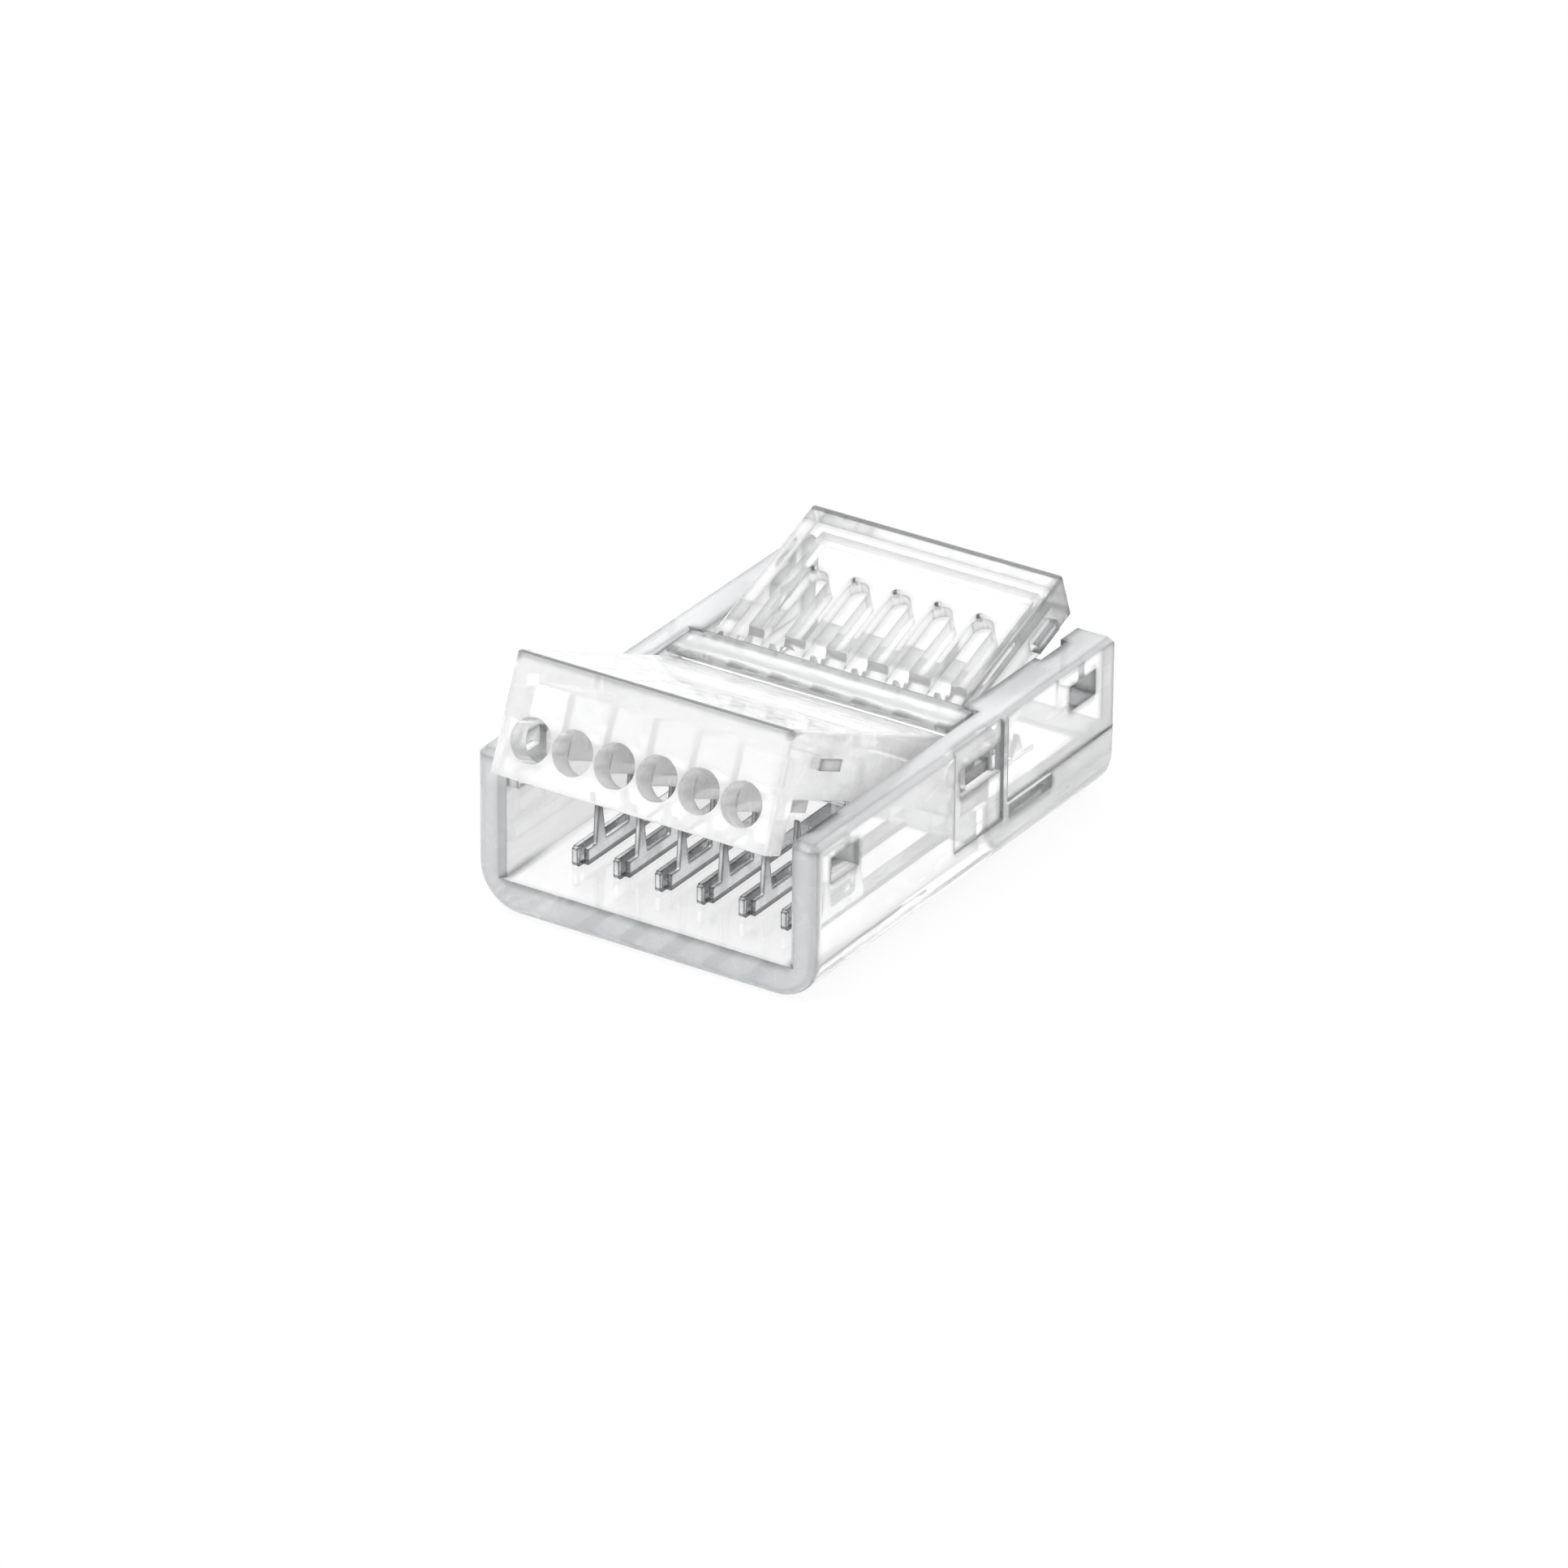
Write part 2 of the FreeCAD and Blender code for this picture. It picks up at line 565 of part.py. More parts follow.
def make_contact(number):
    """One stamped and folded contact, lying on the tray's floor and on its deck."""
    body = doc.addObject("PartDesign::Body", "contact_" + str(number))
    half = size.contact_width / 2
    sheet = size.sheet_thickness
    floor = size.floor_thickness
    deck = size.deck_height
    start = front_y + size.contact_start
    step_y = front_y + size.deck_start
    end = front_y + size.contact_end
    strip = [
        (start, floor), (step_y, floor), (step_y, deck), (end, deck),
        (end, deck + sheet), (step_y - sheet, deck + sheet), (step_y - sheet, floor + sheet), (start, floor + sheet)]
    section_feature(body, "Pad", "strip", [strip], half)

    rail = floor + size.rail_height
    tip = floor + size.tooth_height
    rail_end = front_y + size.rail_end
    toothed = [(start, floor), (start, rail)]
    for place in (size.front_tooth, size.rear_tooth):
        toothed += tooth(front_y + place, rail, tip, size.tooth_fore, size.tooth_aft)
    toothed += [(rail_end, rail), (rail_end, floor)]
    flange(body, "toothed_flange", toothed, half - sheet / 2)
    flange(body, "plain_flange", box_outline(start, floor, rail_end, rail), sheet / 2 - half)
    prong_y = front_y + size.prong_place
    prong = tooth(prong_y, deck, deck + size.prong_height, size.prong_base, size.prong_base)
    flange(body, "right_prong", prong, half - sheet / 2)
    flange(body, "left_prong", prong, sheet / 2 - half)

    lip_y = front_y + size.lip_start
    lip = [
        (start + sheet, floor), (lip_y, floor), (lip_y, floor + size.lip_height),
        (lip_y + sheet, floor + size.lip_height), (lip_y + sheet, floor + sheet), (start + sheet, floor + sheet)]
    lip_pad = section_feature(body, "Pad", "lip", [lip], size.lip_width / 2)
    bends = ((lip_y, floor), (step_y - sheet, floor + sheet), (step_y - sheet, deck + sheet))

    def at_bend(middle, way):
        """Edges across the strip at the outside of a bend, or inside the lower one."""
        return any(near(middle.y, bend[0].value) and near(middle.z, bend[1].value) for bend in bends)

    soften(body, "Fillet", "bend_rounding", lip_pad, at_bend, size.bend_radius)
    across = first_channel + size.contact_pitch * (number - 1)
    body.setExpression(".Placement.Base.x", across.formula)
    return body


sub_parts = [make_tray(), make_wire_cover(), make_strip_cover(), make_bridge()]
for number in range(1, int(size.channel_count.value) + 1):
    sub_parts.append(make_contact(number))
doc.recompute()

# Every object has to be sound before anything is written.
for item in doc.Objects:
    if "Invalid" in item.State or "Error" in item.State:
        raise RuntimeError(item.Name + " failed: " + str(item.State))
for body in sub_parts:
    body.Label = body.Name
    if body.Shape.isNull() or not body.Shape.isValid():
        raise RuntimeError(body.Label + " has no valid shape")

os.makedirs("parts", exist_ok=True)
for body in sub_parts:
    body.Shape.exportStep("parts/" + body.Label + ".step")
    box = body.Shape.BoundBox
    print(body.Label, len(body.Shape.Solids), round(body.Shape.Volume, 3),
          [round(value, 3) for value in (box.XMin, box.YMin, box.ZMin, box.XMax, box.YMax, box.ZMax)])
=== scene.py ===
from math import cos, radians, sin
from typing import NamedTuple

import bpy
from bpy.props import FloatProperty, FloatVectorProperty, PointerProperty
from bpy.types import Operator, Panel, PropertyGroup
from mathutils import Matrix, Vector


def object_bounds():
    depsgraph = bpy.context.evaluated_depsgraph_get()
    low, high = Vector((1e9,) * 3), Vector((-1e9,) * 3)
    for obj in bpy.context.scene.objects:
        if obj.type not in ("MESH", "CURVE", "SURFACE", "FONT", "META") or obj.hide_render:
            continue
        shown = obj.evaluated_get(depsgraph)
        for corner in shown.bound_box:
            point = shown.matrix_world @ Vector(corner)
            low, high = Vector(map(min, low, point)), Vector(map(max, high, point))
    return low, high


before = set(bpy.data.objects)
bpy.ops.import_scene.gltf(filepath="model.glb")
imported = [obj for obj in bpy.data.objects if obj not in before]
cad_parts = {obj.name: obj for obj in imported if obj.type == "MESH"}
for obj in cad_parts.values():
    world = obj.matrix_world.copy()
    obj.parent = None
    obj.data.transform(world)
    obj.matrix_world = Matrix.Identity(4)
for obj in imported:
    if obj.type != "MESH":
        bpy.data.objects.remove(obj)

bl_info = {
    "name": "Clear Light Strip Connector",
    "version": (1, 0, 0),
    "blender": (4, 5, 0),
    "location": "3D View > Sidebar > Connector",
    "description": "Finishes a clear hinged connector and its contacts, and sets it on a pale stage",
    "category": "Object",
}

MM = 0.001
CAD_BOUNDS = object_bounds()

# The photograph's side in pixels, and the camera's sensor.
PHOTO_SIDE = 1932
SENSOR_MM = 36.0

# How often light may turn in the plastic, and the rays that each edge mask takes.
MOST_BOUNCES = 14
MASK_SAMPLES = 2

# Noise scales, in turns per metre, and how far two of the patterns are stretched.
FLOW_SCALE = 900.0
PEEL_SCALE = 2600.0
ROLLING_SCALE = 9000.0
PATCH_SCALE = 700.0
GRAIN_SCALE = 40.0
FLOW_STRETCH = 0.15
ROLLING_STRETCH = (1.0, 0.06, 1.0)

# A face counts as turned towards an axis, or as an underside, as its normal's share goes from the
# first to the second.
TURNED = (0.4, 0.8)
TURNED_UNDER = (0.05, 0.5)

# Share of a narrow end face that is milky instead of clear, what the flow lines leave of the
# painted grey shade on it, and the painted grey shade of an underside beside it.
RIM_SHADE_COVER = 0.85
RIM_SHADE_FADE = 0.9
UNDER_SHADE_GREY = 0.3

# How near other faces lie where painted shade along an edge, in an inner corner or along a punched
# edge begins, and where it is full.
EDGE_SHADE_RAMP = (0.15, 0.45)
CREASE_SHADE_RAMP = (0.2, 0.55)
CUT_SHADE_RAMP = (0.1, 0.5)

# Strength at which a painted line of shade has its full colour, and the parts of a piece's half length
# between which the painted shade in its inner corners deepens.
FULL_LINE_SHADE = 0.35
MOUTH_SHADE_RUN = (0.65, 0.9)

# Part of the flow pattern over which the finish changes.
FLOW_SPREAD = (0.35, 0.75)

# Small relief on the plastic and on the metal.
PLASTIC_RELIEF = {"Strength": 0.06, "Distance": 0.02 * MM}
METAL_RELIEF = {"Strength": 0.25, "Distance": 0.01 * MM}

# Contacts: rounding of the punched edges and width of the painted shade along them, where the painted
# shade at the foot and at the tips sets in, and how dark the painted shade at the foot, at the tips
# and overall gets.
METAL_EDGE_RADIUS = 0.03 * MM
CUT_WIDTH = 0.1 * MM
FOOT_SHADE_HEIGHTS = (0.26 * MM, 0.18 * MM)
TIP_SHADE_DEPTHS = (1.1 * MM, 0.6 * MM)
FOOT_SHADE = 0.8
TIP_SHADE = 0.6
MOST_SHADE = 0.9

WHITE = (1.0, 1.0, 1.0, 1.0)
FLOW_TINT = (0.985, 0.987, 0.99, 1.0)
FLOOR_GREYS = (0.93, 0.93, 0.93, 1.0), (0.95, 0.95, 0.95, 1.0)

# How much darker the studio is overhead, at the sides and in front, and between which shares of a
# direction each shade comes in.  The sides darken only above the horizon.
OVERHEAD_SHADE = 0.1
SIDE_SHADE = 0.12
FRONT_SHADE = 0.06
OVERHEAD_BAND = (0.35, 0.85)
SIDE_BAND = (0.55, 0.95)
HORIZON_BAND = (-0.2, 0.3)
FRONT_BAND = (0.5, 0.95)

# Share of the floor's own white in the part's shadow, and half the floor's width.
SHADOW_WHITE = 0.88
FLOOR_HALF = 3.0

# Place, side and power of each soft light, and the place that both point at.
LIGHTS = {
    "key light": ((-0.12, -0.10, 0.30), 0.16, 0.35),
    "rear light": ((0.10, 0.30, 0.16), 0.12, 0.2),
}
AIM = Vector((0.0, 0.0, 0.004))


class Value:
    """A shader socket that takes part in Python arithmetic."""

    def __init__(self, graph, socket):
        self.graph = graph
        self.socket = socket

    def _math(self, operation, first, second=None):
        values = [first] if second is None else [first, second]
        return self.graph.add("ShaderNodeMath", {"operation": operation}, values)

    def __add__(self, other):
        return self._math("ADD", self, other)

    def __radd__(self, other):
        return self._math("ADD", other, self)

    def __sub__(self, other):
        return self._math("SUBTRACT", self, other)

    def __rsub__(self, other):
        return self._math("SUBTRACT", other, self)

    def __mul__(self, other):
        return self._math("MULTIPLY", self, other)

    def __rmul__(self, other):
        return self._math("MULTIPLY", other, self)

    def __neg__(self):
        return self._math("MULTIPLY", self, -1.0)

    def __abs__(self):
        return self._math("ABSOLUTE", self)

    def largest(self, other):
        return self._math("MAXIMUM", self, other)

    def ramp(self, low, high, start=0.0, end=1.0):
        """Rises smoothly from start to end as the value goes from low to high."""
        settings = {"interpolation_type": "SMOOTHSTEP"}
        values = {"Value": self, "From Min": low, "From Max": high, "To Min": start, "To Max": end}
        return self.graph.add("ShaderNodeMapRange", settings, values)


class Graph:
    """A node tree that is filled through one method."""

    def __init__(self, tree):
        self.tree = tree
        tree.nodes.clear()

    def add(self, kind, settings=None, values=None, output=0):
        """Add a node, set its settings first and then its inputs, and return one output."""
        node = self.tree.nodes.new(kind)
        for name, setting in (settings or {}).items():
            setattr(node, name, setting)
        named = values.items() if isinstance(values, dict) else enumerate(values or ())
        for name, value in named:
            if isinstance(value, Value):
                self.tree.links.new(value.socket, node.inputs[name])
            else:
                node.inputs[name].default_value = value
        return Value(self, node.outputs[output]) if len(node.outputs) else None

    def mix(self, factor, first, second):
        """Blend two colours."""
        settings = {"data_type": "RGBA"}
        return self.add("ShaderNodeMix", settings, {0: factor, 6: first, 7: second}, output=2)

    def noise(self, place, scale, detail=2.0, roughness=0.5):
        """Cloudy pattern between 0 and 1."""
        values = {"Vector": place, "Scale": scale, "Detail": detail, "Roughness": roughness}
        return self.add("ShaderNodeTexNoise", {"noise_dimensions": "3D"}, values)

    def nearness(self, reach, inside):
        """How much of the surroundings within reach is taken up by the same piece's other faces."""
        settings = {"samples": MASK_SAMPLES, "inside": inside, "only_local": True}
        return 1.0 - self.add("ShaderNodeAmbientOcclusion", settings, {"Distance": reach}, output=1)

    def split(self, vector):
        """A vector's parts by the names of their axes."""
        outputs = self.add("ShaderNodeSeparateXYZ", {}, {"Vector": vector}).socket.node.outputs
        return {axis: Value(self, outputs[axis]) for axis in "XYZ"}

    def facing(self):
        """The parts of the surface's direction along the piece's own axes."""
        return self.split(self.add("ShaderNodeTexCoord", output="Normal"))

    def place(self, stretch=(1.0, 1.0, 1.0)):
        """Object coordinates, stretched along the axes."""
        coordinates = self.add("ShaderNodeTexCoord", output="Object")
        return self.add("ShaderNodeMapping", {}, {"Vector": coordinates, "Scale": stretch})


def new_material(name):
    """A material and the graph that fills it."""
    material = bpy.data.materials.new(name)
    material.use_nodes = True
    return material, Graph(material.node_tree)


def dress(node_name, material):
    """Put one material on a CAD node."""
    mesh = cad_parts[node_name].data
    mesh.materials.clear()
    mesh.materials.append(material)


class Finish(NamedTuple):
    """How one clear moulding differs from the others.

    flow_axis is the axis along which the plastic filled the mould.  haze and side_haze are the
    milky shares of its faces and of its outermost sides, and rims is that of its end faces, where
    it is also the strength of the painted grey shade on its end faces, tops and undersides.  The
    three kinds of lines say how dark the painted lines of shade along its edges are: inside, along
    its outline and at its open ends.  crest is the depth of the painted dark line of shade along
    its highest edge.
    """

    flow_axis: int
    haze: float
    side_haze: float
    rims: float
    inner_shade_lines: float
    outer_shade_lines: float
    mouth_shade_lines: float
    crest: float


TRAY_FINISH = Finish(
    flow_axis=1, haze=0.05, side_haze=0.34, rims=1.0, inner_shade_lines=0.25, outer_shade_lines=0.6,
    mouth_shade_lines=0.8, crest=0.0)
BRIDGE_FINISH = Finish(
    flow_axis=0, haze=0.25, side_haze=0.25, rims=0.5, inner_shade_lines=0.2, outer_shade_lines=0.4,
    mouth_shade_lines=0.2, crest=0.0)
COVER_FINISHES = {
    "wire_cover": Finish(
        flow_axis=0, haze=0.4, side_haze=0.4, rims=0.0, inner_shade_lines=0.08, outer_shade_lines=0.8,
        mouth_shade_lines=0.08, crest=0.06 * MM),
    "strip_cover": Finish(
        flow_axis=0, haze=0.12, side_haze=0.12, rims=0.0, inner_shade_lines=0.4, outer_shade_lines=0.8,
        mouth_shade_lines=0.4, crest=0.09 * MM),
}


class ClearPlasticSettings(PropertyGroup):
    tint: FloatVectorProperty(
        name="Tint", description="Colour of the clear plastic's broad faces",
        subtype="COLOR", size=4, min=0.0, max=1.0, default=(0.996, 0.996, 0.996, 1.0))
    # Painted shade: grey on end faces, tops and undersides, standing in for light guided along walls.
    rim_shade: FloatVectorProperty(
        name="Rims", description="Colour of narrow end faces and rims",
        subtype="COLOR", size=4, min=0.0, max=1.0, default=(0.50, 0.51, 0.52, 1.0))
    # Painted shade: the dark colour laid along sharp edges and in inner corners.
    line: FloatVectorProperty(
        name="Edges", description="Colour along sharp edges and inner corners",
        subtype="COLOR", size=4, min=0.0, max=1.0, default=(0.10, 0.105, 0.11, 1.0))
    edge_width: FloatProperty(
        name="Edge width", description="Width of the grey line along a sharp edge", unit="LENGTH",
        default=0.4 * MM, min=0.0)
    ior: FloatProperty(
        name="Index of refraction", description="How strongly the plastic bends light", default=1.5,
        min=1.0)
    roughness: FloatProperty(
        name="Roughness", description="How much the plastic blurs what lies behind it",
        subtype="FACTOR", default=0.03, min=0.0, max=1.0)
    edge_radius: FloatProperty(
        name="Edge radius", description="Visible rounding of the moulded edges", unit="LENGTH",
        default=0.07 * MM, min=0.0)


class ContactSettings(PropertyGroup):
    metal: FloatVectorProperty(
        name="Tinned metal", description="Colour of the contacts' plating",
        subtype="COLOR", size=4, min=0.0, max=1.0, default=(0.88, 0.885, 0.895, 1.0))
    tarnish: FloatVectorProperty(
        name="Tarnish", description="Colour of the plating where it is dull",
        subtype="COLOR", size=4, min=0.0, max=1.0, default=(0.64, 0.64, 0.65, 1.0))
    # Painted shade: the dark colour laid along the punched edges, standing in for shade there.
    punched_edge_shade: FloatVectorProperty(
        name="Cut edges", description="Colour of the bare metal along the punched edges",
        subtype="COLOR", size=4, min=0.0, max=1.0, default=(0.07, 0.07, 0.075, 1.0))
    roughness: FloatProperty(
        name="Roughness", description="Softness of the plating's reflections", subtype="FACTOR",
        default=0.28, min=0.0, max=1.0)


class StageSettings(PropertyGroup):
    azimuth: FloatProperty(
        name="Camera azimuth", description="Camera's turn round the part from straight in front",
        subtype="ANGLE", default=radians(32.743))
    elevation: FloatProperty(
        name="Camera elevation", description="Camera's height above the horizon", subtype="ANGLE",
        default=radians(27.093))
    roll: FloatProperty(
        name="Camera roll", description="Camera's tilt about its own axis", subtype="ANGLE",
        default=radians(-0.408))
    distance: FloatProperty(
        name="Camera distance", description="From the part's origin to the camera along its axis",
        unit="LENGTH", default=496.544 * MM)
    shift_right: FloatProperty(
        name="Shift right", description="Part's origin right of the picture's middle", unit="LENGTH",
        default=0.605 * MM)
    shift_up: FloatProperty(
        name="Shift up", description="Part's origin above the picture's middle", unit="LENGTH",
        default=-2.569 * MM)
    focal_pixels: FloatProperty(
        name="Focal length", description="Focal length in pixels of the square picture",
        default=15058.0)
    floor_gap: FloatProperty(
        name="Floor gap", description="Between the part's underside and the floor", unit="LENGTH",
        default=0.05 * MM)
    shadow_reach: FloatProperty(
        name="Shadow reach", description="From the part's outline to where its shadow has faded out",
        unit="LENGTH", default=5.0 * MM)
    sky_level: FloatProperty(
        name="Surroundings", description="Light of the studio on dull surfaces", default=1.2, min=0.0)
    glow_level: FloatProperty(
        name="Light box", description="Brightness of the studio in gloss and through clear plastic",
        default=1.9, min=0.0)


def node_box(node_name):
    """Lowest and highest corner of a CAD node."""
    corners = [Vector(corner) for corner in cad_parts[node_name].bound_box]
    return Vector(map(min, zip(*corners))), Vector(map(max, zip(*corners)))


def shaded_rim_mask(graph, node_name, depth):
    """Where grey shade is painted: 1 on a piece's outermost end faces and on its highest faces, 0
    elsewhere.
    """
    low, high = node_box(node_name)
    middle = (low.y + high.y) / 2
    half = (high.y - low.y) / 2
    place = graph.split(graph.place())
    facing = graph.facing()
    along = abs(place["Y"] - middle).ramp(half - depth, half - depth / 2)
    above = place["Z"].ramp(high.z - depth, high.z - depth / 2)
    ends = along * abs(facing["Y"]).ramp(*TURNED)
    tops = above * facing["Z"].ramp(*TURNED)
    return ends.largest(tops)


def crest_shade_line(graph, node_name, depth):
    """1 along a tilted piece's highest edge, where a dark line of shade is painted, 0 elsewhere."""
    high = node_box(node_name)[1]
    return graph.split(graph.place())["Z"].ramp(high.z - depth, high.z - depth / 2)


def outer_sides(graph, node_name, depth):
    """1 on a piece's outermost side faces, 0 elsewhere."""
    low, high = node_box(node_name)
    across = abs(graph.split(graph.place())["X"] - (low.x + high.x) / 2)
    half = (high.x - low.x) / 2
    return across.ramp(half - depth, half - depth / 2) * abs(graph.facing()["X"]).ramp(*TURNED)


def edge_shade_strength(graph, node_name, depth, finish):
    """How dark the painted line of shade along an edge is: more by a piece's side faces and top."""
    low, high = node_box(node_name)
    place = graph.split(graph.place())
    sides = abs(place["X"] - (low.x + high.x) / 2) - (high.x - low.x) / 2
    top = place["Z"] - high.z
    return sides.largest(top).ramp(-depth, -depth / 2, finish.inner_shade_lines, finish.outer_shade_lines)


def crease_shade_strength(graph, node_name, finish):
    """How dark the painted shade in an inner corner is: it darkens towards the piece's open ends."""
    low, high = node_box(node_name)
    half = (high.y - low.y) / 2
    along = abs(graph.split(graph.place())["Y"] - (low.y + high.y) / 2)
    first, last = (half * part for part in MOUTH_SHADE_RUN)
    return along.ramp(first, last, finish.inner_shade_lines, finish.mouth_shade_lines)


def clear_plastic(node_name, settings, finish):
    """Clear moulded plastic with painted grey shade on its rims and thin painted lines of shade along
    its edges and creases.

    The grey of the rims and edges is painted shade.  It stands in for light that was guided along a
    wall and leaves at its rims and edges as a flat grey.  The flow lines are stretched along the way
    that the plastic filled the mould.
    """
    material, graph = new_material("clear " + node_name)
    stretch = [1.0, 1.0, 1.0]
    stretch[finish.flow_axis] = FLOW_STRETCH
    flow = graph.noise(graph.place(stretch), FLOW_SCALE, 3.0, 0.55)
    peel = graph.noise(graph.place(), PEEL_SCALE)
    # Painted shade: masks for the dark lines laid along convex edges and in inner corners.
    edge = graph.nearness(settings.edge_width, True).ramp(*EDGE_SHADE_RAMP)
    crease = graph.nearness(settings.edge_width, False).ramp(*CREASE_SHADE_RAMP)
    # Painted shade: faces turned downwards take part of the painted grey.
    under = (-graph.facing()["Z"]).ramp(*TURNED_UNDER)
    rounded = graph.add("ShaderNodeBevel", {"samples": MASK_SAMPLES}, {"Radius": settings.edge_radius})
    relief = flow * 0.7 + peel * 0.3
    normal = graph.add(
        "ShaderNodeBump", {}, {**PLASTIC_RELIEF, "Height": relief, "Normal": rounded})
    faces = graph.mix(flow.ramp(0.3, 0.8), tuple(settings.tint), FLOW_TINT)
    blur = flow.ramp(*FLOW_SPREAD, settings.roughness, settings.roughness * 2.0)
    clear = graph.add(
        "ShaderNodeBsdfPrincipled", {},
        {"Base Color": faces, "Roughness": blur, "IOR": settings.ior, "Transmission Weight": 1.0,
         "Normal": normal})
    # Painted shade: grey on end faces, tops and undersides, a little weaker along the flow pattern.
    grey = shaded_rim_mask(graph, node_name, settings.edge_width).largest(under * UNDER_SHADE_GREY)
    grey = grey * flow.ramp(0.2, 0.8, finish.rims, finish.rims * RIM_SHADE_FADE)
    # Painted shade: dark lines along the edges, in the inner corners and along the highest edge.
    drawn = edge * edge_shade_strength(graph, node_name, settings.edge_width, finish)
    drawn = drawn.largest(crease * crease_shade_strength(graph, node_name, finish))
    if finish.crest:
        drawn = drawn.largest(crest_shade_line(graph, node_name, finish.crest) * finish.outer_shade_lines)
    # The milky part's colour: white under the painted grey shade, with the painted dark lines over it.
    rims = graph.mix(grey, WHITE, tuple(settings.rim_shade))
    milky = graph.add(
        "ShaderNodeBsdfPrincipled", {},
        {"Base Color": graph.mix(drawn.ramp(0.0, FULL_LINE_SHADE), rims, tuple(settings.line)),
         "Roughness": flow.ramp(*FLOW_SPREAD, 0.2, 0.35), "IOR": settings.ior, "Normal": normal})
    outer = outer_sides(graph, node_name, settings.edge_width)
    haze = outer * (finish.side_haze - finish.haze) + finish.haze
    # Where shade is painted, the surface turns milky so that the painted colour shows.
    share = (grey * RIM_SHADE_COVER).largest(drawn).largest(haze)
    surface = graph.add("ShaderNodeMixShader", {}, [share, clear, milky])
    graph.add("ShaderNodeOutputMaterial", {}, {"Surface": surface})
    return material


def tinned_metal(name, settings):
    """Tinned sheet metal: rolling lines, dull patches, and painted shade at cut edges, feet and tips.
    """
    material, graph = new_material(name)
    lines = graph.noise(graph.place(ROLLING_STRETCH), ROLLING_SCALE, 3.0, 0.6)
    patches = graph.noise(graph.place(), PATCH_SCALE, 3.0, 0.6)
    rounded = graph.add("ShaderNodeBevel", {"samples": 4}, {"Radius": METAL_EDGE_RADIUS})
    normal = graph.add(
        "ShaderNodeBump", {}, {**METAL_RELIEF, "Height": lines, "Normal": rounded})
    dull = patches.ramp(0.35, 0.75) * 0.7 + lines.ramp(0.4, 0.8) * 0.3
    colour = graph.mix(dull, tuple(settings.metal), tuple(settings.tarnish))
    # Painted shade: upright faces darken near the foot, and the tips darken near the top.
    low, high = node_box("contact_1")
    height = graph.split(graph.place())["Z"]
    upright = 1.0 - abs(graph.facing()["Z"])
    foot = height.ramp(*(low.z + rise for rise in FOOT_SHADE_HEIGHTS)) * upright
    tips = height.ramp(*(high.z - depth for depth in TIP_SHADE_DEPTHS)) * TIP_SHADE
    # Painted shade along the punched edges, joined with the painted shade at the foot and the tips.
    cut = graph.nearness(CUT_WIDTH, True).ramp(*CUT_SHADE_RAMP)
    dark = cut.largest(foot * FOOT_SHADE).largest(tips) * MOST_SHADE
    colour = graph.mix(dark, colour, tuple(settings.punched_edge_shade))
    roughness = patches.ramp(0.3, 0.8, settings.roughness * 0.8, settings.roughness * 1.5)
    surface = graph.add(
        "ShaderNodeBsdfPrincipled", {},
        {"Base Color": colour, "Metallic": 1.0, "Roughness": roughness, "Normal": normal})
    graph.add("ShaderNodeOutputMaterial", {}, {"Surface": surface})
    return material


class CONNECTOR_OT_tray(Operator):
    """Finish the tray in clear plastic that filled the mould along its length"""
    bl_idname = "connector.tray"
    bl_label = "Finish Tray"

    def execute(self, context):
        dress("tray", clear_plastic("tray", context.scene.connector_plastic, TRAY_FINISH))
        return {"FINISHED"}


class CONNECTOR_OT_covers(Operator):
    """Finish both hinged covers in clear plastic that filled the mould across their width"""
    bl_idname = "connector.covers"
    bl_label = "Finish Covers"

    def execute(self, context):
        for node_name, finish in COVER_FINISHES.items():
            dress(node_name, clear_plastic(node_name, context.scene.connector_plastic, finish))
        return {"FINISHED"}


class CONNECTOR_OT_bridge(Operator):
    """Finish the cross piece between the covers"""
    bl_idname = "connector.bridge"
    bl_label = "Finish Bridge"

    def execute(self, context):
        material = clear_plastic("contact_bridge", context.scene.connector_plastic, BRIDGE_FINISH)
        dress("contact_bridge", material)
        return {"FINISHED"}


class CONNECTOR_OT_contacts(Operator):
    """Finish the folded contacts in tinned metal"""
    bl_idname = "connector.contacts"
    bl_label = "Finish Contacts"

    def execute(self, context):
        metal = tinned_metal("tinned metal", context.scene.connector_contacts)
        for node_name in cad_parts:
            if node_name.startswith("contact_") and node_name != "contact_bridge":
                dress(node_name, metal)
        return {"FINISHED"}


def floor_material(shadow_reach):
    """Pale floor: plain white in gloss and through the plastic, with the part's shadow near it.

    Past the reach of the shadow only the floor's own white is left.
    """
    material, graph = new_material("pale floor")
    camera_ray = graph.add("ShaderNodeLightPath", output="Is Camera Ray")
    light_path = camera_ray.socket.node.outputs
    reflected = Value(graph, light_path["Is Glossy Ray"])
    through = Value(graph, light_path["Is Transmission Ray"])
    place = graph.split(graph.place())
    corner = CAD_BOUNDS[1]
    beyond = (abs(place["X"]) - corner.x).largest(abs(place["Y"]) - corner.y)
    white = beyond.ramp(0.0, shadow_reach, SHADOW_WHITE, 1.0)
    grain = graph.noise(graph.place(), GRAIN_SCALE)
    colour = graph.mix(grain.ramp(0.3, 0.7), *FLOOR_GREYS)
    matte = graph.add(
        "ShaderNodeBsdfPrincipled", {},
        {"Base Color": colour, "Roughness": 1.0, "Specular IOR Level": 0.0})
    bright = graph.add("ShaderNodeEmission", {}, {"Color": WHITE, "Strength": 1.0})
    seen = (camera_ray * white).largest(reflected).largest(through)
    surface = graph.add("ShaderNodeMixShader", {}, [seen, matte, bright])
    graph.add("ShaderNodeOutputMaterial", {}, {"Surface": surface})
    return material


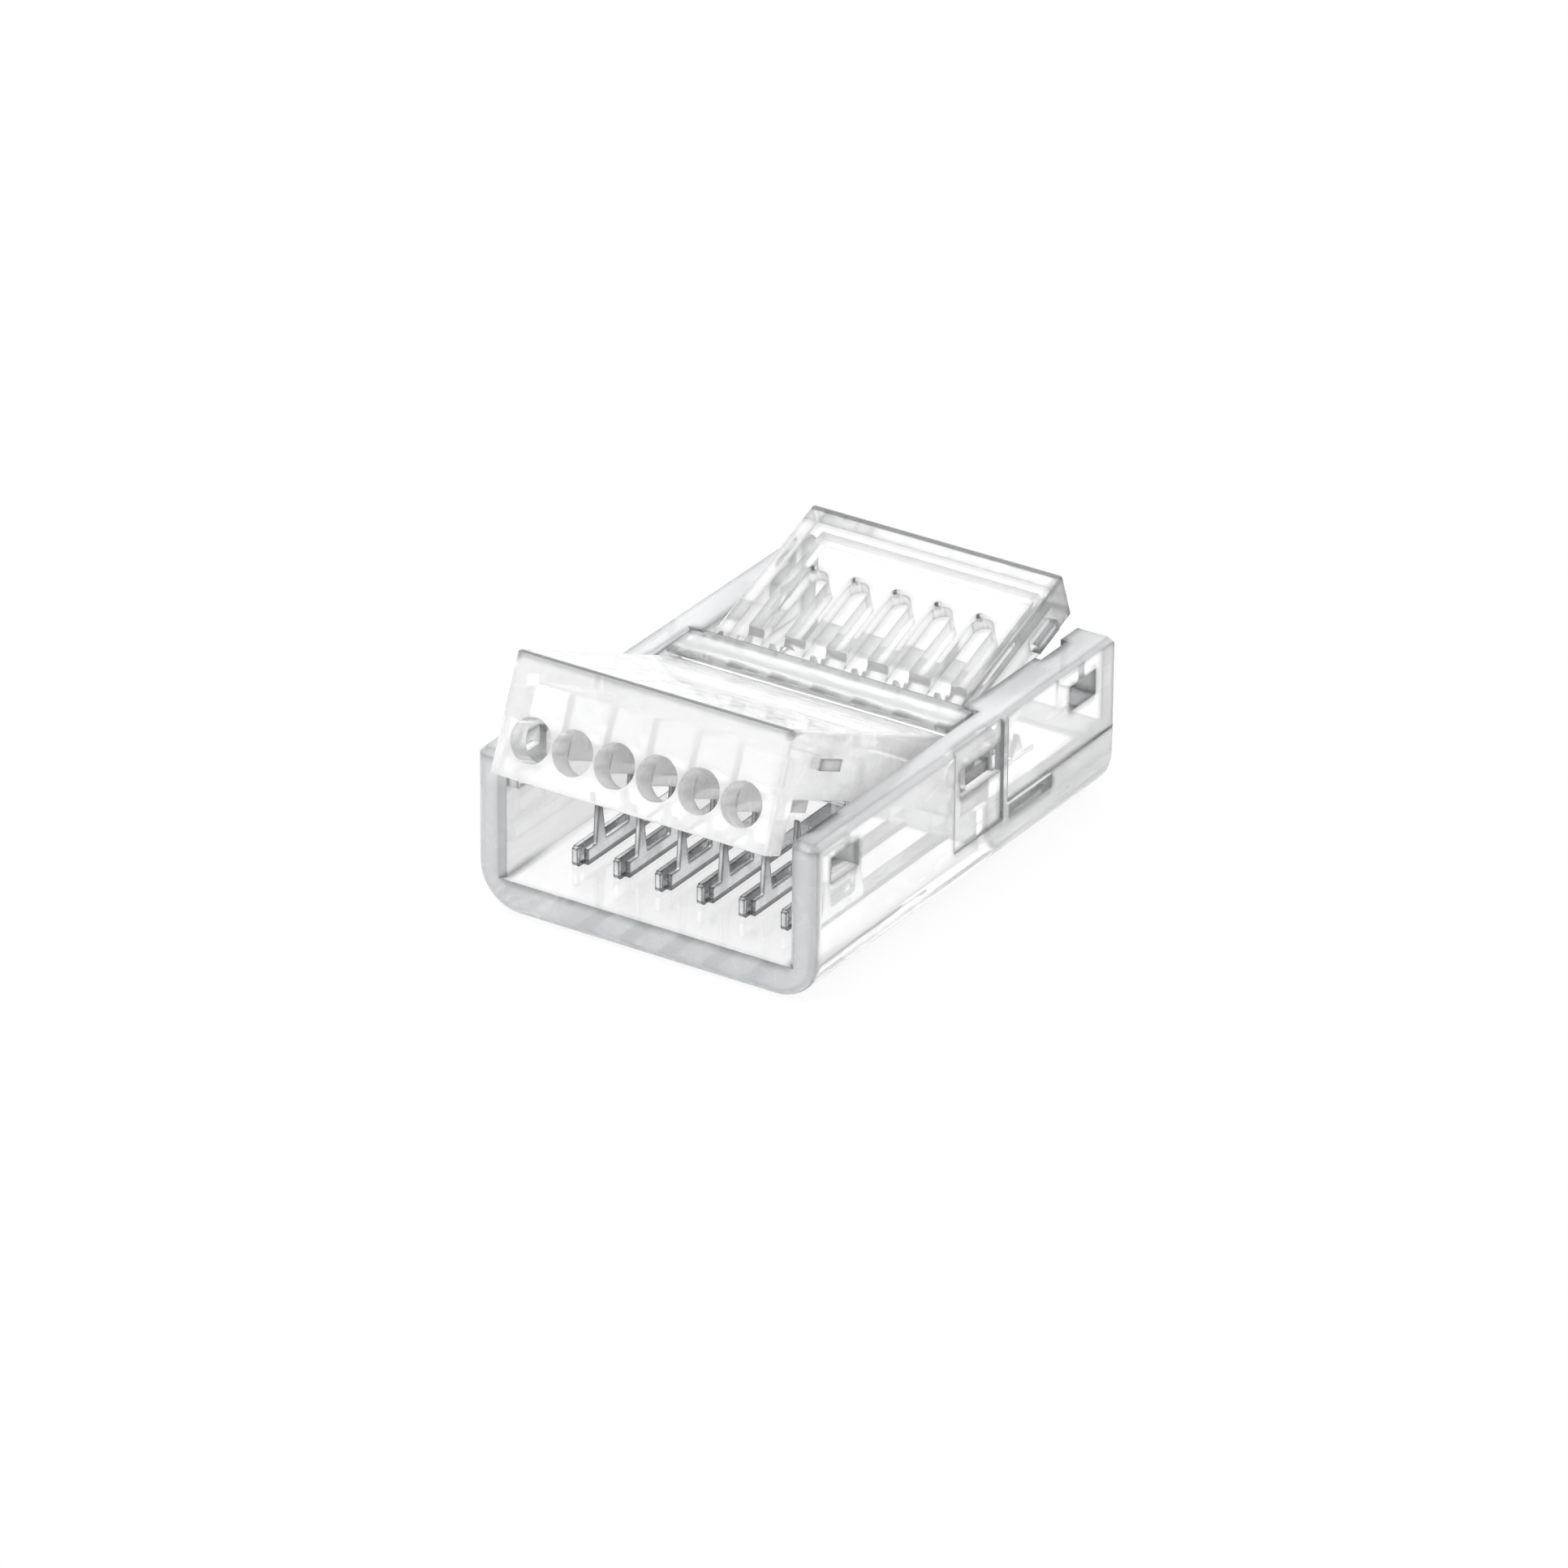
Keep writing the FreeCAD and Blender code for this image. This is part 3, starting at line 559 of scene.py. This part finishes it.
def build_floor(settings):
    """Flat square floor just under the part."""
    half = FLOOR_HALF
    low = CAD_BOUNDS[0].z - settings.floor_gap
    corners = [(-half, -half, low), (half, -half, low), (half, half, low), (-half, half, low)]
    mesh = bpy.data.meshes.new("floor")
    mesh.from_pydata(corners, [], [(0, 1, 2, 3)])
    floor = bpy.data.objects.new("floor", mesh)
    bpy.context.scene.collection.objects.link(floor)
    mesh.materials.append(floor_material(settings.shadow_reach))


def build_surroundings(settings):
    """White studio that darkens overhead and at the sides, so that clear edges are drawn in grey."""
    world = bpy.data.worlds.new("studio")
    bpy.context.scene.world = world
    world.use_nodes = True
    world.cycles.sampling_method = "NONE"
    graph = Graph(world.node_tree)
    way = graph.split(graph.add("ShaderNodeTexCoord", output="Generated"))
    overhead = way["Z"].ramp(*OVERHEAD_BAND)
    sides = abs(way["X"]).ramp(*SIDE_BAND) * way["Z"].ramp(*HORIZON_BAND)
    before = (-way["Y"]).ramp(*FRONT_BAND)
    shade = (overhead * OVERHEAD_SHADE).largest(sides * SIDE_SHADE).largest(before * FRONT_SHADE)
    camera_ray = graph.add("ShaderNodeLightPath", output="Is Camera Ray")
    diffuse_ray = Value(graph, camera_ray.socket.node.outputs["Is Diffuse Ray"])
    seen_through = (1.0 - shade) * settings.glow_level
    lighting = graph.add("ShaderNodeMix", {}, {0: diffuse_ray, 2: seen_through, 3: settings.sky_level})
    strength = graph.add("ShaderNodeMix", {}, {0: camera_ray, 2: lighting, 3: 1.0})
    background = graph.add("ShaderNodeBackground", {}, {"Color": WHITE, "Strength": strength})
    graph.add("ShaderNodeOutputWorld", {}, {"Surface": background})


def build_light(name, place, side, power):
    """Square soft light that points at the part's middle."""
    lamp = bpy.data.lights.new(name, "AREA")
    lamp.shape = "SQUARE"
    lamp.size = side
    lamp.energy = power
    holder = bpy.data.objects.new(name, lamp)
    holder.location = place
    holder.rotation_euler = (AIM - Vector(place)).to_track_quat("-Z", "Y").to_euler()
    bpy.context.scene.collection.objects.link(holder)


def build_camera(settings):
    """Camera at the photograph's angle, distance and framing."""
    turn, rise, roll = settings.azimuth, settings.elevation, settings.roll
    back = Vector((sin(turn) * cos(rise), -cos(turn) * cos(rise), sin(rise)))
    right = Vector((cos(turn), sin(turn), 0.0))
    up = back.cross(right)
    right, up = right * cos(roll) - up * sin(roll), right * sin(roll) + up * cos(roll)
    lens = bpy.data.cameras.new("camera")
    lens.sensor_width = SENSOR_MM
    lens.lens = settings.focal_pixels / PHOTO_SIDE * SENSOR_MM
    lens.clip_start = settings.distance / 100
    lens.clip_end = settings.distance * 100
    camera = bpy.data.objects.new("camera", lens)
    place = back * settings.distance - right * settings.shift_right - up * settings.shift_up
    camera.matrix_world = Matrix.Translation(place) @ Matrix((right, up, back)).transposed().to_4x4()
    bpy.context.scene.collection.objects.link(camera)
    bpy.context.scene.camera = camera


class CONNECTOR_OT_stage(Operator):
    """Build the pale floor, the studio, the soft lights and the camera"""
    bl_idname = "connector.stage"
    bl_label = "Build Stage"

    def execute(self, context):
        settings = context.scene.connector_stage
        build_floor(settings)
        build_surroundings(settings)
        for name, light in LIGHTS.items():
            build_light(name, *light)
        build_camera(settings)
        context.scene.view_settings.view_transform = "Standard"
        for limit in ("max_bounces", "transmission_bounces", "glossy_bounces", "diffuse_bounces"):
            setattr(context.scene.cycles, limit, MOST_BOUNCES)
        return {"FINISHED"}


class CONNECTOR_PT_panel(Panel):
    """Lists the steps that finish the connector"""
    bl_idname = "CONNECTOR_PT_panel"
    bl_label = "Light Strip Connector"
    bl_space_type = "VIEW_3D"
    bl_region_type = "UI"
    bl_category = "Connector"

    def draw(self, context):
        for operator in STEPS:
            self.layout.operator(operator.bl_idname)
        for name in ("connector_plastic", "connector_contacts", "connector_stage"):
            group = getattr(context.scene, name)
            for entry in group.bl_rna.properties:
                if entry.identifier not in ("rna_type", "name"):
                    self.layout.prop(group, entry.identifier)


STEPS = (
    CONNECTOR_OT_tray, CONNECTOR_OT_covers, CONNECTOR_OT_bridge, CONNECTOR_OT_contacts,
    CONNECTOR_OT_stage)
SETTINGS = {
    "connector_plastic": ClearPlasticSettings,
    "connector_contacts": ContactSettings,
    "connector_stage": StageSettings,
}


def register():
    for kind in (*SETTINGS.values(), *STEPS, CONNECTOR_PT_panel):
        bpy.utils.register_class(kind)
    for name, kind in SETTINGS.items():
        setattr(bpy.types.Scene, name, PointerProperty(type=kind))


def unregister():
    for name in SETTINGS:
        delattr(bpy.types.Scene, name)
    for kind in reversed((*SETTINGS.values(), *STEPS, CONNECTOR_PT_panel)):
        bpy.utils.unregister_class(kind)


def main():
    """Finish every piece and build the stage."""
    register()
    bpy.ops.connector.tray()
    bpy.ops.connector.covers()
    bpy.ops.connector.bridge()
    bpy.ops.connector.contacts()
    bpy.ops.connector.stage()


if __name__ == "__main__":
    main()
